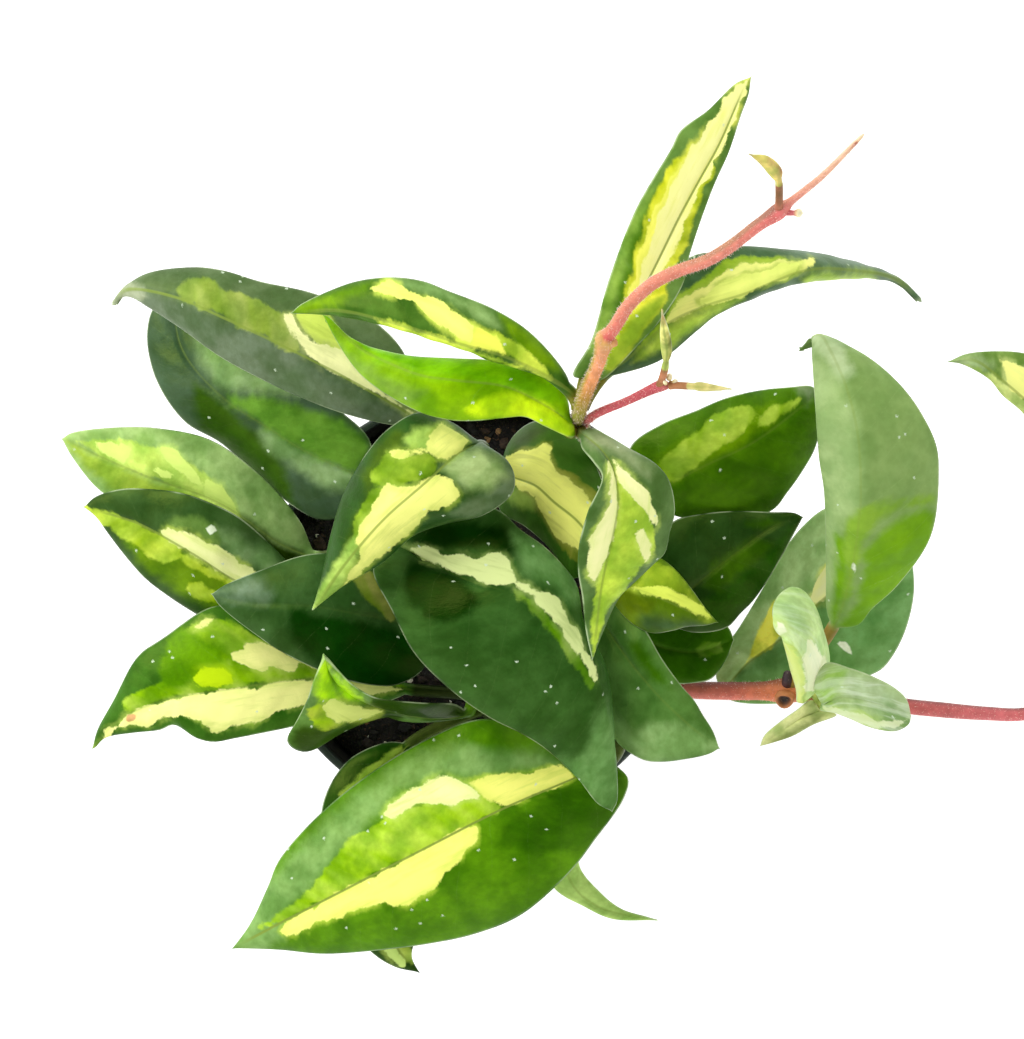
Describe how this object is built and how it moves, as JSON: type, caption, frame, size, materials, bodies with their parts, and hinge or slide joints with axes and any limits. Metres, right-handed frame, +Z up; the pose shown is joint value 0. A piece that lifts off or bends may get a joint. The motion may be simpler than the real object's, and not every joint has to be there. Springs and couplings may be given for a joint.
{
  "type": "potted climbing hoya",
  "caption": "Climbing hoya with thick pointed leaves, green at the margins and cream inside, on twining stems in a round nursery pot.",
  "frame": {"origin": "centre of the pot's flat base, on the surface it stands on", "axes": "+Z up, +Y to the top of the picture, which looks straight down, +X to its right"},
  "size_m": [0.2619, 0.2097, 0.2304],
  "materials": {
    "pot": "matte",
    "soil": "matte",
    "stem": "matte",
    "leaf": "satin",
    "young_leaf": "satin"
  },
  "bodies": {
    "root": {"pot": "pot", "soil": "soil", "stem_main": "stem", "stem_middle": "stem", "stem_left": "stem", "stem_front": "stem", "stem_low": "stem", "stem_right": "stem", "vine_right": "stem", "shoot_side": "stem", "leaf_upper_left_folded": "leaf", "leaf_upper_left_under": "leaf", "leaf_left_high": "leaf", "leaf_left_middle": "leaf", "leaf_left_low": "leaf", "leaf_centre_left_dark": "leaf", "leaf_small_folded": "leaf", "leaf_front_large": "leaf", "leaf_centre_dark": "leaf", "leaf_centre_arched": "leaf", "leaf_back_long": "leaf", "leaf_back_bright": "leaf", "leaf_back_tall": "leaf", "leaf_back_right_arched": "leaf", "leaf_right_back": "leaf", "leaf_right_upturned": "leaf", "leaf_right_under_vine": "leaf", "leaf_right_dark": "leaf", "leaf_right_striped": "leaf", "leaf_right_low_dark": "leaf", "leaf_front_right_dark": "leaf", "leaf_centre_back": "leaf", "leaf_right_arched": "leaf", "leaf_vine_end": "leaf", "leaf_front_narrow": "leaf", "leaf_front_under": "leaf", "young_leaf_bent": "young_leaf", "young_leaf_right": "young_leaf", "young_leaf_left": "young_leaf", "shoot_leaf_upright": "young_leaf", "shoot_leaf_flat": "young_leaf", "runner_leaf_bent": "young_leaf"}
  },
  "joints": []
}
